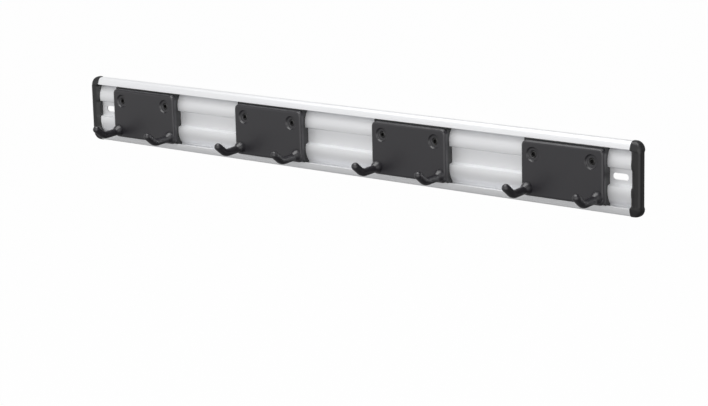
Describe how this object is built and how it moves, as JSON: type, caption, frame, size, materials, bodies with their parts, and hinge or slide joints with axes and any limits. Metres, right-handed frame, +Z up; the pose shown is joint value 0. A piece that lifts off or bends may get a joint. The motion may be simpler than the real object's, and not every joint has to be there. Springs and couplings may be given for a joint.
{
  "type": "wall tool holder",
  "caption": "Extruded aluminium wall rail with end caps and sliding black hook plates whose upturned prongs hold tools by their handles or heads.",
  "frame": {"origin": "middle of the rail's wall face", "axes": "+X along the rail to the viewer's right, +Y into the wall, +Z up"},
  "size_m": [0.9, 0.0635, 0.0882],
  "materials": {
    "rail_metal": "satin anodised extrusion",
    "cap_plastic": "fine moulded grain, black",
    "plate_plastic": "fine moulded grain, charcoal black",
    "shoe_plastic": "smooth moulded black",
    "insert_brass": "turned",
    "screw_steel": "black oxide"
  },
  "bodies": {
    "rail": {"rail": "rail_metal", "end_cap_left": "cap_plastic", "end_cap_right": "cap_plastic"},
    "holder_1": {"hook_plate_1": "plate_plastic", "slide_shoe_1": "shoe_plastic", "thread_inserts_1": "insert_brass"},
    "holder_2": {"hook_plate_2": "plate_plastic", "slide_shoe_2": "shoe_plastic", "thread_inserts_2": "insert_brass"},
    "holder_3": {"hook_plate_3": "plate_plastic", "slide_shoe_3": "shoe_plastic", "thread_inserts_3": "insert_brass"},
    "holder_4": {"hook_plate_4": "plate_plastic", "slide_shoe_4": "shoe_plastic", "thread_inserts_4": "insert_brass"},
    "clamp_screw_1_left": {"clamp_screw_1_left": "screw_steel"},
    "clamp_screw_1_right": {"clamp_screw_1_right": "screw_steel"},
    "clamp_screw_2_left": {"clamp_screw_2_left": "screw_steel"},
    "clamp_screw_2_right": {"clamp_screw_2_right": "screw_steel"},
    "clamp_screw_3_left": {"clamp_screw_3_left": "screw_steel"},
    "clamp_screw_3_right": {"clamp_screw_3_right": "screw_steel"},
    "clamp_screw_4_left": {"clamp_screw_4_left": "screw_steel"},
    "clamp_screw_4_right": {"clamp_screw_4_right": "screw_steel"}
  },
  "joints": [
    {"name": "holder_1_slide", "type": "slide", "parent": "rail", "child": "holder_1", "axis": [1, 0, 0], "range_m": [-0.036, 0.056]},
    {"name": "holder_2_slide", "type": "slide", "parent": "rail", "child": "holder_2", "axis": [1, 0, 0], "range_m": [-0.056, 0.058]},
    {"name": "holder_3_slide", "type": "slide", "parent": "rail", "child": "holder_3", "axis": [1, 0, 0], "range_m": [-0.058, 0.056]},
    {"name": "holder_4_slide", "type": "slide", "parent": "rail", "child": "holder_4", "axis": [1, 0, 0], "range_m": [-0.056, 0.03]},
    {"name": "clamp_screw_1_left_turn", "type": "hinge", "parent": "holder_1", "child": "clamp_screw_1_left", "pos_m": [-0.3822, -0.0105, 0.0165], "axis": [0, -1, 0], "continuous": true},
    {"name": "clamp_screw_1_right_turn", "type": "hinge", "parent": "holder_1", "child": "clamp_screw_1_right", "pos_m": [-0.3002, -0.0105, 0.0165], "axis": [0, -1, 0], "continuous": true},
    {"name": "clamp_screw_2_left_turn", "type": "hinge", "parent": "holder_2", "child": "clamp_screw_2_left", "pos_m": [-0.1537, -0.0105, 0.0165], "axis": [0, -1, 0], "continuous": true},
    {"name": "clamp_screw_2_right_turn", "type": "hinge", "parent": "holder_2", "child": "clamp_screw_2_right", "pos_m": [-0.0717, -0.0105, 0.0165], "axis": [0, -1, 0], "continuous": true},
    {"name": "clamp_screw_3_left_turn", "type": "hinge", "parent": "holder_3", "child": "clamp_screw_3_left", "pos_m": [0.0784, -0.0105, 0.0165], "axis": [0, -1, 0], "continuous": true},
    {"name": "clamp_screw_3_right_turn", "type": "hinge", "parent": "holder_3", "child": "clamp_screw_3_right", "pos_m": [0.1604, -0.0105, 0.0165], "axis": [0, -1, 0], "continuous": true},
    {"name": "clamp_screw_4_left_turn", "type": "hinge", "parent": "holder_4", "child": "clamp_screw_4_left", "pos_m": [0.3063, -0.0105, 0.0165], "axis": [0, -1, 0], "continuous": true},
    {"name": "clamp_screw_4_right_turn", "type": "hinge", "parent": "holder_4", "child": "clamp_screw_4_right", "pos_m": [0.3883, -0.0105, 0.0165], "axis": [0, -1, 0], "continuous": true}
  ]
}
